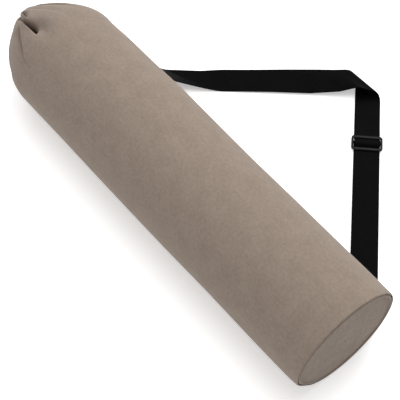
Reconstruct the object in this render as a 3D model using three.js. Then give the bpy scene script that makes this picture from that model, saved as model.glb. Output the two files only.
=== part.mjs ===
// A bag for a rolled yoga mat, lying on its side with its shoulder strap laid out beside it.
//
// The bag is a long cloth tube, a little slimmer at its base. A round panel closes the base. The other end
// is drawn together into pleats round a small open mouth. The strap is webbing in two lengths that meet in a
// three-bar slider. Each is caught in the bag's side seam at one end. The long one is folded over once, at
// the corner of its way.
//
// Units are millimetres, +Z is up. While it is built, the bag lies along X, with the outer face of its base
// at x = 0 and the mouth towards -X, and the strap lies towards +Y. At the end the origin moves to the middle
// of the footprint, on the ground.

import * as THREE from "three";

// Cloth of the tube
const TUBE_RADIUS = 86;
const TUBE_LENGTH = 702; // from the face of the base to the tip of the gathers
const CLOTH = 1.8; // thickness of the cloth
const REST_FLAT_DEPTH = 1.5; // how far the underside is pressed flat where it rests
const CLEARANCE = 0.3; // left between pieces that touch
const REST_HEIGHT = 0; // of the ground

// Base
const BASE_RADIUS = 84; // of the tube where it meets the base
const BASE_SIDE = 2.8; // how far the tube's axis has moved there towards the strap
const TAPER_LENGTH = 350; // over which the tube grows slimmer
const BASE_TURN = 1.4; // radius with which the tube turns in to the base seam
const BASE_BULGE = 0.8; // how far the base panel stands out past the seam

// The rounded edge of the base panel. inset: from the panel's edge. back: behind its face.
const PANEL_EDGE = [
  { inset: 0, back: 0.8 },
  { inset: 0.45, back: 0.25 },
  { inset: 1.5, back: 0 },
];

// Gathered end
const DOME_LENGTH = 106; // from the shoulder to the tip
const TIP_RADIUS = 17; // of the drawn-up pleats at the tip
const TIP_SIDE = -2.2; // how far the tip has moved away from the strap
const MOUTH_RADIUS = 6.5; // of the hole that the pleats leave open
const DOME_POWER = 1.57; // shape of the shoulder, seen from the side
const DOME_ROUNDNESS = 1.15;
const ROLL_LENGTH = 7; // how far back the pleats' ends roll in to the mouth
const DOME_INNER_INSET = 1.25; // the dome's inner face lies this many cloths inside the outer one
const DOME_INNER_SHIFT = 0.4; // and this many towards the base, so that the wall keeps its thickness

// How the pleats' ends roll in. place: share of ROLL_LENGTH from the tip. share: of the way from the mouth to
// the pleat.
const ROLL = [
  { place: 0, share: 0.5 },
  { place: 0.35, share: 0.12 },
  { place: 1, share: 0 },
];

// Creases of the gathers. turn: degrees round the axis from +Y towards +Z. depth: share of the radius that
// the crease cuts in near the tip. reach: share of the dome's length that it runs down. width: degrees to
// either side.
const CREASES = [
  { turn: 22, depth: 0.44, reach: 0.8, width: 18 },
  { turn: 60, depth: 0.4, reach: 0.8, width: 18 },
  { turn: 90, depth: 0.2, reach: 1.0, width: 13 },
  { turn: 114, depth: 0.58, reach: 0.86, width: 12 },
  { turn: 136, depth: 0.5, reach: 0.95, width: 12 },
  { turn: 172, depth: 0.46, reach: 0.85, width: 18 },
  { turn: 211, depth: 0.5, reach: 0.75, width: 18 },
  { turn: 249, depth: 0.42, reach: 0.9, width: 18 },
  { turn: 288, depth: 0.52, reach: 0.75, width: 18 },
  { turn: 326, depth: 0.42, reach: 0.9, width: 18 },
  { turn: 352, depth: 0.4, reach: 0.6, width: 14 },
];

// Webbing
const WEB_WIDTH = 39;
const WEB = 1.4; // thickness
const SEAM_TURN = -25; // degrees round the axis where the side seam holds the two ends
const TOP_END_FROM_TIP = 131; // middle of the long length's end
const LOW_END_FROM_BASE = 35; // middle of the short length's end
const CORNER_FROM_BASE = 315; // where the two runs would cross if the fold were sharp
const CORNER_REACH = 360.5; // the same point's distance from the bag's axis
const FOLD_RADIUS = 8; // of the soft fold at the corner
const TOP_DOWN_OUTER = 82; // from the seam to where the outer edge of the upper run reaches the ground
const TOP_DOWN_INNER = 137; // the same for the inner edge
const LOW_DOWN = 62; // the same for both edges at the base end
const TOP_DOWN_POWER = 1.2; // shape of the upper run's descent
const LOW_DOWN_POWER = 1.5;
const TAIL_FROM_SEAM = 50; // where the long length's free tail ends

// How high the upper run stands between the ground and the fold, as shares of the fold's height. place: share
// of the way. outer and inner: the two edges.
const TOP_LIFT = [
  { place: 0, outer: 0, inner: 0 },
  { place: 0.15, outer: 0.3, inner: 0.1 },
  { place: 0.35, outer: 0.45, inner: 0.2 },
  { place: 0.6, outer: 0.7, inner: 0.2 },
  { place: 0.8, outer: 0.85, inner: 0.65 },
  { place: 0.92, outer: 0.9, inner: 1.45 },
  { place: 1, outer: 1, inner: 1 },
];

// Three-bar slider
const SLIDER_FROM_CORNER = 110;
const SLIDER_THICKNESS = 2.5;
const BAR = 4.6; // width of each of its bars
const SLOT = 6.2;
const RAIL = 3.3; // width of its two sides
const SLOT_PLAY = 0.6; // between the webbing's edges and the sides
const SLIDER_CORNER_RADIUS = 4.5;
const SLIDER_BEVEL = 0.5;
const SLOT_CORNER_RADIUS = 1;
const WEAVE_RISE_POWER = 1.9; // how abruptly the webbing climbs over the middle bar
const WEAVE_APPROACH = 28; // length over which the long length rises to the slider

// The loop of the short length round the middle bar, from its end to the ground. along and height: shares of
// the loop's half width and half height from the bar's middle.
const LOOP = [
  { along: 1, height: -0.3 },
  { along: 1, height: 0.3 },
  { along: 0.88, height: 0.88 },
  { along: 0.4, height: 1 },
  { along: -0.4, height: 1 },
  { along: -0.88, height: 0.88 },
  { along: -1, height: 0.3 },
  { along: -1, height: -0.5 },
];

// Fineness
const ROUND_STEPS = 90;
const DOME_STEPS = 13;
const DOME_CROWDING = 1.35; // above 1, rings stand closer near the tip
const TURN_STEPS = 3;
const ACROSS_STEPS = 3;
const RUN_STEP = 15; // between cross-sections on the open runs
const DROP_STEP = 6; // near the seam
const BEND_STEP = 0.9; // in the weave
const WEAVE_MARGIN = 2; // by which the close cross-sections reach past the slots
const FOLD_STEPS = 10;

const radians = THREE.MathUtils.degToRad;
const MOUTH_WALL = MOUTH_RADIUS + CLOTH;
const smooth = (t) => {
  const share = THREE.MathUtils.clamp(t, 0, 1);
  return share * share * (3 - 2 * share);
};

// Numbers from one place to another, both included, no further apart than step.
function steps(from, to, step) {
  const count = Math.max(1, Math.ceil((to - from) / step));
  return Array.from({ length: count + 1 }, (_, i) => from + ((to - from) * i) / count);
}

// A closed mesh from rings of points. Each ring joins the next, and the last joins the first.
function closedTube(rings) {
  const n = rings[0].length;
  const positions = rings.flat().flatMap((p) => [p.x, p.y, p.z]);
  const index = [];
  for (let i = 0; i < rings.length; i++) {
    const next = (i + 1) % rings.length;
    for (let j = 0; j < n; j++) {
      const k = (j + 1) % n;
      const [a, b, c, d] = [i * n + j, i * n + k, next * n + j, next * n + k];
      index.push(a, c, b, b, c, d);
    }
  }
  const geometry = new THREE.BufferGeometry();
  geometry.setAttribute("position", new THREE.Float32BufferAttribute(positions, 3));
  geometry.setIndex(index);
  return geometry;
}

// How strong a crease is at a share of the dome measured from the tip: full at the tip, nothing at its reach.
function creaseFade(fromTip, reach) {
  return smooth(1 - fromTip / reach);
}

// The share of the plain radius that is left at an angle, with every crease cut in as a rounded V.
function creased(turn, fromTip) {
  let share = 1;
  for (const crease of CREASES) {
    const away = Math.abs(THREE.MathUtils.euclideanModulo(turn - crease.turn + 180, 360) - 180);
    const across = Math.max(0, 1 - away / crease.width);
    share -= crease.depth * creaseFade(fromTip, crease.reach) * across * across * (2 - across);
  }
  return share;
}

// The dome's plain radius at a share of its length measured from the tip.
function domeRadius(fromTip) {
  const curve = 1 - Math.pow(1 - fromTip, DOME_POWER);
  return TIP_RADIUS + (TUBE_RADIUS - TIP_RADIUS) * Math.pow(curve, 1 / DOME_ROUNDNESS);
}

// The middle and the plain radius of the bag at a place along it. The slimmer base rests on the ground too.
function crossSection(x) {
  const slimmed = Math.max(0, 1 + x / TAPER_LENGTH);
  const radius = TUBE_RADIUS - (TUBE_RADIUS - BASE_RADIUS) * slimmed;
  const fromTip = Math.min(1, (x + TUBE_LENGTH) / DOME_LENGTH);
  return { y: BASE_SIDE * slimmed + TIP_SIDE * (1 - fromTip * fromTip), z: radius - REST_FLAT_DEPTH, radius };
}

// A point of the bag at a distance from its middle, turned from +Y towards +Z.
function around(x, reach, turn) {
  const { y, z } = crossSection(x);
  return new THREE.Vector3(x, y + reach * Math.cos(radians(turn)), z + reach * Math.sin(radians(turn)));
}

// A ring of the tube, pressed flat where it rests. lowest is the height of that flat.
function tubeRing(x, radiusAt, lowest) {
  return Array.from({ length: ROUND_STEPS }, (_, j) => {
    const turn = (360 * j) / ROUND_STEPS;
    const point = around(x, radiusAt(turn), turn);
    return point.setZ(Math.max(point.z, lowest));
  });
}

// The quarter round with which the tube turns in to the base seam, from the seam to the wall.
function baseTurn() {
  const start = -BASE_BULGE - BASE_TURN;
  return steps(0, 1, 1 / TURN_STEPS).map((share) => {
    const angle = (Math.PI / 2) * share;
    const reach = crossSection(start).radius - BASE_TURN + BASE_TURN * Math.sin(angle);
    return tubeRing(start + BASE_TURN * Math.cos(angle), () => reach, REST_HEIGHT);
  });
}

// The tube: outer face from base to tip, the rolled-in mouth, and the inner face back to the base.
function tubeGeometry() {
  const tip = -TUBE_LENGTH;
  const taperStart = -TAPER_LENGTH;
  const places = steps(0, 1, 1 / DOME_STEPS).map((share) => Math.pow(share, DOME_CROWDING));
  const pleat = (fromTip) => (turn) => domeRadius(fromTip) * creased(turn, fromTip);
  const outer = places.map((fromTip) => {
    const radiusAt = (turn) => Math.max(pleat(fromTip)(turn), MOUTH_WALL);
    return tubeRing(tip + DOME_LENGTH * fromTip, radiusAt, REST_HEIGHT);
  });
  const roll = ROLL.map(({ place, share }) => {
    const radiusAt = (turn) => {
      return THREE.MathUtils.lerp(MOUTH_RADIUS, Math.max(pleat(0)(turn), MOUTH_WALL), share);
    };
    return tubeRing(tip + ROLL_LENGTH * place, radiusAt, REST_HEIGHT);
  });
  const inner = places
    .filter((fromTip) => DOME_LENGTH * fromTip > ROLL_LENGTH + CLOTH)
    .map((fromTip) => {
      const radiusAt = (turn) => Math.max(pleat(fromTip)(turn) - CLOTH * DOME_INNER_INSET, MOUTH_RADIUS);
      return tubeRing(tip + DOME_LENGTH * fromTip + CLOTH * DOME_INNER_SHIFT, radiusAt, CLOTH);
    });
  return closedTube([
    ...baseTurn(),
    tubeRing(taperStart, () => TUBE_RADIUS, REST_HEIGHT),
    ...outer.reverse(),
    ...roll,
    ...inner,
    tubeRing(taperStart, () => TUBE_RADIUS - CLOTH, CLOTH),
    tubeRing(-BASE_BULGE, () => BASE_RADIUS - CLOTH, CLOTH),
  ]);
}

// The round base panel: a disc with a rounded edge, set into the end of the tube and pressed flat with it.
function basePanelGeometry() {
  const edge = BASE_RADIUS - CLOTH - CLEARANCE;
  const profile = [
    new THREE.Vector2(0, -CLOTH),
    new THREE.Vector2(edge, -CLOTH),
    ...PANEL_EDGE.map(({ inset, back }) => new THREE.Vector2(edge - inset, -back)),
    new THREE.Vector2(0, 0),
  ];
  const lathe = new THREE.LatheGeometry(profile, ROUND_STEPS);
  const { y, z } = crossSection(0);
  lathe.rotateZ(-Math.PI / 2);
  lathe.translate(0, y, z);
  const position = lathe.getAttribute("position");
  for (let i = 0; i < position.count; i++) {
    position.setZ(i, Math.max(position.getZ(i), CLOTH + CLEARANCE));
  }
  return lathe;
}

// Plan geometry of the strap
const seamPoint = (x) => around(x, crossSection(x).radius + CLEARANCE + WEB / 4, SEAM_TURN);
const topSeam = seamPoint(-TUBE_LENGTH + TOP_END_FROM_TIP);
const lowSeam = seamPoint(-LOW_END_FROM_BASE);
const topEnd = new THREE.Vector2(topSeam.x, topSeam.y);
const lowEnd = new THREE.Vector2(lowSeam.x, lowSeam.y);
const corner = new THREE.Vector2(-CORNER_FROM_BASE, CORNER_REACH);
const upperRun = corner.distanceTo(topEnd);
const lowerRun = corner.distanceTo(lowEnd);
const upperWay = corner.clone().sub(topEnd).normalize();
const lowerWay = lowEnd.clone().sub(corner).normalize();
const upperSide = new THREE.Vector2(upperWay.y, -upperWay.x); // towards the strap's inner edge
const foldLine = upperWay.clone().add(lowerWay).normalize();
const foldOut = new THREE.Vector2(-foldLine.y, foldLine.x);
const foldStart = (-Math.PI * FOLD_RADIUS) / 2; // where the bend starts, along foldOut from the corner
const foldSlope = upperWay.dot(foldOut); // how fast the run approaches the fold line
const foldSkew = -upperSide.dot(foldOut) / foldSlope; // slant of a cross-section that lies along the fold
const upperSeamSkew = -upperSide.y / upperWay.y; // slant of one that lies along the seam
const lowerSeamSkew = lowerWay.x / lowerWay.y;

// Heights of the layers
const onGround = WEB / 2;
const onShort = WEB + CLEARANCE + WEB / 2;
const sliderUnder = 2 * WEB + 2.4 * CLEARANCE; // underside of the slider, above two layers
const overBar = sliderUnder + SLIDER_THICKNESS + 2 * CLEARANCE + 1.5 * WEB; // middle of the upper layer
const sliderPlace = upperRun + SLIDER_FROM_CORNER;
const tailEnd = upperRun + lowerRun - TAIL_FROM_SEAM;

// Extra height of the two runs near their seams.
function topDescent(fromSeam, reach) {
  const left = THREE.MathUtils.clamp(1 - fromSeam / reach, 0, 1);
  return (topSeam.z - onGround) * Math.pow(left, TOP_DOWN_POWER);
}
function lowDescent(fromSeam) {
  const left = THREE.MathUtils.clamp(1 - fromSeam / LOW_DOWN, 0, 1);
  return (lowSeam.z - onGround) * Math.pow(left, LOW_DOWN_POWER);
}

// How much further apart two layers stand, measured upright, where the lower run's descent is steep.
function steepness(fromSeam) {
  return Math.hypot(1, (lowDescent(fromSeam) - lowDescent(fromSeam + WEB)) / WEB);
}

// The value of a table's column at a place between its rows.
function lookUp(table, place, column) {
  const i = Math.max(1, table.findIndex((row) => row.place >= place));
  const [low, high] = [table[i - 1], table[i]];
  return THREE.MathUtils.mapLinear(place, low.place, high.place, low[column], high[column]);
}

// Where a point of the long length lies. along is measured from its sewn end, across from its middle line.
function placeLong(along, across) {
  const flat = topEnd.clone().addScaledVector(upperWay, along).addScaledVector(upperSide, across);
  const fromCorner = flat.clone().sub(corner);
  const outward = fromCorner.dot(foldOut);
  if (outward <= foldStart) {
    const inner = across / WEB_WIDTH + 0.5; // 0 at the outer edge, 1 at the inner one
    const fromSeam = (flat.y - topSeam.y) / upperWay.y;
    const down = THREE.MathUtils.lerp(TOP_DOWN_OUTER, TOP_DOWN_INNER, inner);
    const left = (foldStart - outward) / foldSlope;
    const liftStart = fromSeam + left - TOP_DOWN_INNER;
    const place = THREE.MathUtils.clamp(1 - left / liftStart, 0, 1);
    const edges = ["outer", "inner"].map((edge) => lookUp(TOP_LIFT, place, edge));
    const lift = THREE.MathUtils.lerp(...edges, inner);
    const height = onGround + topDescent(fromSeam, down) + 2 * FOLD_RADIUS * lift;
    return new THREE.Vector3(flat.x, flat.y, height);
  }
  if (outward < -foldStart) {
    const angle = (outward - foldStart) / FOLD_RADIUS;
    const out = foldStart + FOLD_RADIUS * Math.sin(angle);
    flat.addScaledVector(foldOut, out - outward);
    return new THREE.Vector3(flat.x, flat.y, onGround + FOLD_RADIUS * (1 + Math.cos(angle)));
  }
  flat.addScaledVector(foldOut, -2 * outward);
  return new THREE.Vector3(flat.x, flat.y, lowerHeight(along, (lowSeam.y - flat.y) / lowerWay.y));
}

// Height of the long length on the lower run: on the ground, up through the slider, then on the short length.
function lowerHeight(along, fromSeam) {
  const beforeSlider = sliderPlace - 1.5 * BAR - SLOT - along;
  const rise = (WEB + CLEARANCE) * smooth(1 - beforeSlider / WEAVE_APPROACH) * steepness(fromSeam);
  const weave = Math.min(1, Math.abs(along - sliderPlace) / (BAR / 2 + SLOT));
  const arch = (1 + Math.cos(Math.PI * Math.pow(weave, WEAVE_RISE_POWER))) / 2;
  return onGround + rise + (overBar - onShort) * arch + lowDescent(fromSeam);
}

// Where a point of the short length lies. along is measured from the slider's middle towards the seam.
function placeShort(along, across, height) {
  const flat = corner.clone().addScaledVector(lowerWay, SLIDER_FROM_CORNER + along);
  flat.addScaledVector(new THREE.Vector2(lowerWay.y, -lowerWay.x), across);
  const fromSeam = (lowSeam.y - flat.y) / lowerWay.y;
  return new THREE.Vector3(flat.x, flat.y, height + lowDescent(fromSeam));
}

// A flat band from rows of points on its middle surface. Each row runs across the band.
function bandGeometry(rows) {
  const last = rows[0].length - 1;
  const normalAt = (i, j) => {
    const along = rows[Math.min(i + 1, rows.length - 1)][j].clone().sub(rows[Math.max(i - 1, 0)][j]);
    const across = rows[i][Math.min(j + 1, last)].clone().sub(rows[i][Math.max(j - 1, 0)]);
    return across.cross(along).normalize();
  };
  const rings = rows.map((row, i) => {
    const upper = row.map((p, j) => p.clone().addScaledVector(normalAt(i, j), WEB / 2));
    const lower = row.map((p, j) => p.clone().addScaledVector(normalAt(i, j), -WEB / 2));
    return [...upper, ...lower.reverse()];
  });
  const n = rings[0].length;
  const index = [];
  for (let i = 0; i + 1 < rings.length; i++) {
    for (let j = 0; j < n; j++) {
      const k = (j + 1) % n;
      const [a, b, c, d] = [i * n + j, i * n + k, (i + 1) * n + j, (i + 1) * n + k];
      index.push(a, b, c, c, b, d);
    }
  }
  const end = (rings.length - 1) * n;
  for (let j = 0; j < last; j++) {
    const [a, b, c, d] = [j, j + 1, n - 1 - j, n - 2 - j];
    index.push(a, c, b, b, c, d);
    index.push(end + a, end + b, end + c, end + b, end + d, end + c);
  }
  const geometry = new THREE.BufferGeometry();
  const positions = rings.flat().flatMap((p) => [p.x, p.y, p.z]);
  geometry.setAttribute("position", new THREE.Float32BufferAttribute(positions, 3));
  geometry.setIndex(index);
  return geometry;
}

const acrossPlaces = steps(-WEB_WIDTH / 2, WEB_WIDTH / 2, WEB_WIDTH / ACROSS_STEPS);

// The long length: from the seam, folded at the corner, through the slider, to its free tail.
function longGeometry() {
  const bendFrom = upperRun + foldStart / foldSlope;
  const bendTo = upperRun - foldStart / foldSlope;
  const slant = WEB_WIDTH; // length over which a cross-section turns from square to slanted
  const weave = BAR / 2 + SLOT + WEAVE_MARGIN;
  const dropFrom = upperRun + lowerRun - LOW_DOWN - WEB_WIDTH / 2;
  const places = [
    ...steps(0, TOP_DOWN_INNER, RUN_STEP),
    ...steps(TOP_DOWN_INNER, bendFrom, RUN_STEP).slice(1),
    ...steps(bendFrom, bendTo, (bendTo - bendFrom) / FOLD_STEPS).slice(1),
    ...steps(bendTo, sliderPlace - weave, RUN_STEP).slice(1),
    ...steps(sliderPlace - weave, sliderPlace + weave, BEND_STEP).slice(1),
    ...steps(sliderPlace + weave, dropFrom, RUN_STEP).slice(1),
    ...steps(dropFrom, tailEnd, DROP_STEP).slice(1),
  ];
  const rows = places.map((along) => {
    const toFold = Math.max(bendFrom - along, along - bendTo, 0);
    const skew = upperSeamSkew * smooth(1 - along / (2 * slant)) + foldSkew * smooth(1 - toFold / slant);
    return acrossPlaces.map((across) => placeLong(along + across * skew, across));
  });
  return bandGeometry(rows);
}

// The short length: looped round the slider's middle bar, then along the ground to the seam.
function shortGeometry() {
  const half = BAR / 2 + CLEARANCE + WEB / 2;
  const rise = SLIDER_THICKNESS / 2 + CLEARANCE + WEB / 2;
  const middle = sliderUnder + SLIDER_THICKNESS / 2;
  const points = [
    [half, onShort + CLEARANCE],
    ...LOOP.map(({ along, height }) => [half * along, middle + rise * height]),
    [-half * 0.8, (middle - rise + onGround) / 2],
    [-half * 0.3, onGround],
    [half, onGround],
  ];
  const vectors = points.map(([along, height]) => new THREE.Vector3(along, height, 0));
  const loop = new THREE.CatmullRomCurve3(vectors, false, "centripetal");
  const count = Math.ceil(loop.getLength() / BEND_STEP);
  const end = lowerRun - SLIDER_FROM_CORNER;
  const dropFrom = end - LOW_DOWN - WEB_WIDTH / 2;
  const stations = [
    ...loop.getSpacedPoints(count).map((p) => [p.x, Math.max(p.y, onGround)]),
    ...steps(half, dropFrom, RUN_STEP).slice(1).map((along) => [along, onGround]),
    ...steps(dropFrom, end, DROP_STEP).slice(1).map((along) => [along, onGround]),
  ];
  const rows = stations.map(([along, height]) => {
    const skew = lowerSeamSkew * smooth(1 - (end - along) / (2 * WEB_WIDTH));
    return acrossPlaces.map((across) => placeShort(along + across * skew, across, height));
  });
  return bandGeometry(rows);
}

// A rectangle round the origin, x and y to its sides, with rounded corners.
function roundedOutline(path, x, y, radius) {
  path.moveTo(-x + radius, -y);
  path.lineTo(x - radius, -y);
  path.absarc(x - radius, -y + radius, radius, -Math.PI / 2, 0, false);
  path.lineTo(x, y - radius);
  path.absarc(x - radius, y - radius, radius, 0, Math.PI / 2, false);
  path.lineTo(-x + radius, y);
  path.absarc(-x + radius, y - radius, radius, Math.PI / 2, Math.PI, false);
  path.lineTo(-x, -y + radius);
  path.absarc(-x + radius, -y + radius, radius, Math.PI, Math.PI * 1.5, false);
  return path;
}

// The slider: a rounded plate with two long slots, lying across the lower run.
function sliderGeometry() {
  const slotHalf = WEB_WIDTH / 2 + SLOT_PLAY;
  const plate = roundedOutline(new THREE.Shape(), 1.5 * BAR + SLOT, slotHalf + RAIL, SLIDER_CORNER_RADIUS);
  for (const side of [-1, 1]) {
    const hole = roundedOutline(new THREE.Path(), SLOT / 2, slotHalf, SLOT_CORNER_RADIUS);
    const moved = hole.getPoints(3).map((p) => p.add(new THREE.Vector2((side * (BAR + SLOT)) / 2, 0)));
    plate.holes.push(new THREE.Path(moved.slice(0, -1)));
  }
  const geometry = new THREE.ExtrudeGeometry(plate, {
    depth: SLIDER_THICKNESS - 2 * SLIDER_BEVEL,
    bevelSize: SLIDER_BEVEL,
    bevelOffset: -SLIDER_BEVEL,
    bevelThickness: SLIDER_BEVEL,
    bevelSegments: 1,
    curveSegments: 5,
  });
  geometry.translate(0, 0, sliderUnder + SLIDER_BEVEL);
  geometry.rotateZ(lowerWay.angle());
  const place = corner.clone().addScaledVector(lowerWay, SLIDER_FROM_CORNER);
  geometry.translate(place.x, place.y, 0);
  return geometry;
}

const group = new THREE.Group();
export default group;
const parts = [
  { name: "bag_tube", make: tubeGeometry, color: 0x9d8f82, roughness: 0.95 },
  { name: "base_panel", make: basePanelGeometry, color: 0x7b7168, roughness: 0.95 },
  { name: "long_strap", make: longGeometry, color: 0x131314, roughness: 0.85 },
  { name: "short_strap", make: shortGeometry, color: 0x131314, roughness: 0.85 },
  { name: "strap_slider", make: sliderGeometry, color: 0x353535, roughness: 0.45 },
];
for (const { name, make, color, roughness } of parts) {
  const mesh = new THREE.Mesh(make(), new THREE.MeshStandardMaterial({ color, roughness, metalness: 0 }));
  mesh.name = name;
  group.add(mesh);
}

// The origin goes to the middle of the footprint, on the ground.
const extent = new THREE.Box3().setFromObject(group);
const middle = extent.getCenter(new THREE.Vector3());
for (const mesh of group.children) {
  mesh.geometry.translate(-middle.x, -middle.y, -extent.min.z);
}
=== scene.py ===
"""A yoga mat bag lying on its side, with its shoulder strap laid out behind it.

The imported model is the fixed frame. Each CAD solid is replaced by a finer surface of the same size in the
same place. Lengths are metres. X runs along the bag from its gathered mouth to its round base, Y points from
the bag to the laid-out strap, and Z is up.
"""

import logging
import math
from dataclasses import dataclass
from enum import Enum

import bpy
import numpy as np
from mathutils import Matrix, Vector


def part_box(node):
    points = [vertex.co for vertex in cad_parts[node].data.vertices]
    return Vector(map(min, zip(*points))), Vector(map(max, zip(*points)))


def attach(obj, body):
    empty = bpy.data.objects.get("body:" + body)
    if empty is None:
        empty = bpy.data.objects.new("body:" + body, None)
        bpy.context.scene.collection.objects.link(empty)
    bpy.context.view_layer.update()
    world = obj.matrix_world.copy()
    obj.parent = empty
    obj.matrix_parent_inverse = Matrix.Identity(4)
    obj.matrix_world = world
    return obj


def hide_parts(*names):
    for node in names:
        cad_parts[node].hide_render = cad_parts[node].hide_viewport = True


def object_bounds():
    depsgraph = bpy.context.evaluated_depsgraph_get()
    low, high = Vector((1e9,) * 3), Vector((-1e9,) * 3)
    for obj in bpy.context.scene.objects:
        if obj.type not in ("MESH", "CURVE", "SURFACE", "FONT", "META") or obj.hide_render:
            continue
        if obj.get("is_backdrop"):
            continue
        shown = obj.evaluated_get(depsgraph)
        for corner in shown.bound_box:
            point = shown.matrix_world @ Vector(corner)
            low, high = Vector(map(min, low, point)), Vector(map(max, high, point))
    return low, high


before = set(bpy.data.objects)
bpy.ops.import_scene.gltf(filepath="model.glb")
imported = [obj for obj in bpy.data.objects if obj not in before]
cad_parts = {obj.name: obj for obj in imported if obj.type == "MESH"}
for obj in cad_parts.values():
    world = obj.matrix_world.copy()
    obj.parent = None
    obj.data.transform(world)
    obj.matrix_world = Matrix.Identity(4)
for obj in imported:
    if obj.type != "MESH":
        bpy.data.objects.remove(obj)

log = logging.getLogger("mat_bag")
MM = 0.001
SEAM_TURN = -25.0  # where the tube's side seam runs, in degrees from +Y towards +Z


# Small helpers


def smooth(share: np.ndarray) -> np.ndarray:
    """A value held between 0 and 1, then eased at both ends: three of its square less two of its cube."""
    held = np.clip(share, 0.0, 1.0)
    return held * held * (3.0 - 2.0 * held)


def unit(vector: np.ndarray) -> np.ndarray:
    """Vectors of length one along the last axis."""
    return vector / np.linalg.norm(vector, axis=-1, keepdims=True)


def spaced(start: float, end: float, step: float) -> np.ndarray:
    """Even places from start to end, both included, no further apart than step."""
    return np.linspace(start, end, max(1, math.ceil((end - start) / step)) + 1)


def arc_to(turn: np.ndarray, middle: np.ndarray) -> np.ndarray:
    """Radians from middle to turn, which are angles in degrees, the short way round."""
    return np.radians((turn - middle + 180.0) % 360.0 - 180.0)


def boxed(angle: np.ndarray, power: float) -> tuple[np.ndarray, np.ndarray]:
    """A rounded box's outline: the cosine and the sine, each to a power below one with its sign kept."""
    cosine, sine = np.cos(angle), np.sin(angle)
    return np.sign(cosine) * np.abs(cosine) ** power, np.sign(sine) * np.abs(sine) ** power


def grid_faces(rows: int, columns: int, close_rows: bool, close_columns: bool) -> np.ndarray:
    """Quads of a grid of points that are numbered row by row.

    Args:
        rows: how many rows of points.
        columns: how many points in a row.
        close_rows: whether the last row joins the first.
        close_columns: whether the last point of a row joins its first.

    Returns:
        One row of four point numbers for each quad.
    """
    i = np.arange(rows if close_rows else rows - 1)[:, None]
    j = np.arange(columns if close_columns else columns - 1)[None, :]
    i_next = (i + 1) % rows
    j_next = (j + 1) % columns
    corners = (i * columns + j, i * columns + j_next, i_next * columns + j_next, i_next * columns + j)
    return np.stack([np.broadcast_to(c, (i.size, j.size)) for c in corners], -1).reshape(-1, 4)


def put(name: str, data: bpy.types.ID) -> bpy.types.Object:
    """A new object in the scene, made from its data."""
    thing = bpy.data.objects.new(name, data)
    bpy.context.scene.collection.objects.link(thing)
    return thing


class Slot(Enum):
    """The record's material slots."""

    CANVAS = "canvas"
    BASE = "base_canvas"
    WEBBING = "webbing"
    SLIDER = "slider_plastic"


def make_piece(
    name: str,
    points: np.ndarray,
    faces: list[np.ndarray],
    material: bpy.types.Material,
    replaced: tuple[str, ...] = (),
    uv: np.ndarray | None = None,
) -> bpy.types.Object:
    """Puts a surface into the scene as one piece that rides on the frame.

    Args:
        name: the piece's name.
        points: its points, one row each.
        faces: arrays of faces, each with a fixed number of corners.
        material: its material.
        replaced: the CAD nodes that it stands for.
        uv: a pair of pattern coordinates for each point, or None.

    Returns:
        The new object.
    """
    mesh = bpy.data.meshes.new(name)
    counts = np.concatenate([np.full(len(f), f.shape[1]) for f in faces])
    corners = np.concatenate([f.ravel() for f in faces]).astype(np.int32)
    mesh.vertices.add(len(points))
    mesh.vertices.foreach_set("co", np.ascontiguousarray(points, np.float32).ravel())
    mesh.loops.add(len(corners))
    mesh.loops.foreach_set("vertex_index", corners)
    mesh.polygons.add(len(counts))
    mesh.polygons.foreach_set("loop_start", np.concatenate([[0], np.cumsum(counts)[:-1]]).astype(np.int32))
    mesh.polygons.foreach_set("loop_total", counts.astype(np.int32))
    if uv is not None:
        layer = mesh.uv_layers.new(name="cloth")
        layer.data.foreach_set("uv", np.ascontiguousarray(uv[corners], np.float32).ravel())
    mesh.update(calc_edges=True)
    mesh.validate()
    mesh.shade_smooth()
    mesh.materials.append(material)
    piece = put(name, mesh)
    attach(piece, "root")
    if replaced:
        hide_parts(*replaced)
    log.info("%s: %d points, %d faces", name, len(points), len(counts))
    return piece


# Finishes


@dataclass(frozen=True)
class ClothFinish:
    """A woven cloth.

    light and dark are the two colours that its mottling mixes. mottle_size, thread and relief are lengths.
    The rest are the shader's roughness, sheen and specular level.
    """

    name: str
    light: tuple[float, float, float]
    dark: tuple[float, float, float]
    mottle_size: float
    thread: float
    relief: float
    roughness: float
    sheen: float
    gloss: float


CANVAS = ClothFinish(
    name="canvas",
    light=(0.272, 0.216, 0.173),
    dark=(0.220, 0.173, 0.138),
    mottle_size=4.5 * MM,
    thread=1.1 * MM,
    relief=0.16 * MM,
    roughness=0.95,
    sheen=0.1,
    gloss=0.12,
)
# Painted shade: the base is the tube's own canvas, with both colours darkened because its face turns away
# from the lamps.
SHADED_BASE_CANVAS = ClothFinish(
    name="base_canvas",
    light=(0.250, 0.203, 0.168),
    dark=(0.190, 0.154, 0.128),
    mottle_size=6 * MM,
    thread=1.1 * MM,
    relief=0.16 * MM,
    roughness=0.95,
    sheen=0.04,
    gloss=0.12,
)
WEBBING = ClothFinish(
    name="webbing",
    light=(0.0034, 0.0034, 0.0038),
    dark=(0.0020, 0.0020, 0.0022),
    mottle_size=3 * MM,
    thread=1.6 * MM,
    relief=0.25 * MM,
    roughness=0.7,
    sheen=0.0,
    gloss=0.03,
)


@dataclass(frozen=True)
class PlasticFinish:
    """A moulded plastic. Its roughness varies from smoothest to roughest, and relief is its skin's height."""

    name: str
    colour: tuple[float, float, float]
    gloss: float
    skin_scale: float
    smoothest: float
    roughest: float
    relief: float


SLIDER_PLASTIC = PlasticFinish(
    name="slider_plastic",
    colour=(0.008, 0.008, 0.009),
    gloss=0.1,
    skin_scale=900.0,
    smoothest=0.36,
    roughest=0.5,
    relief=0.05 * MM,
)


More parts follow.
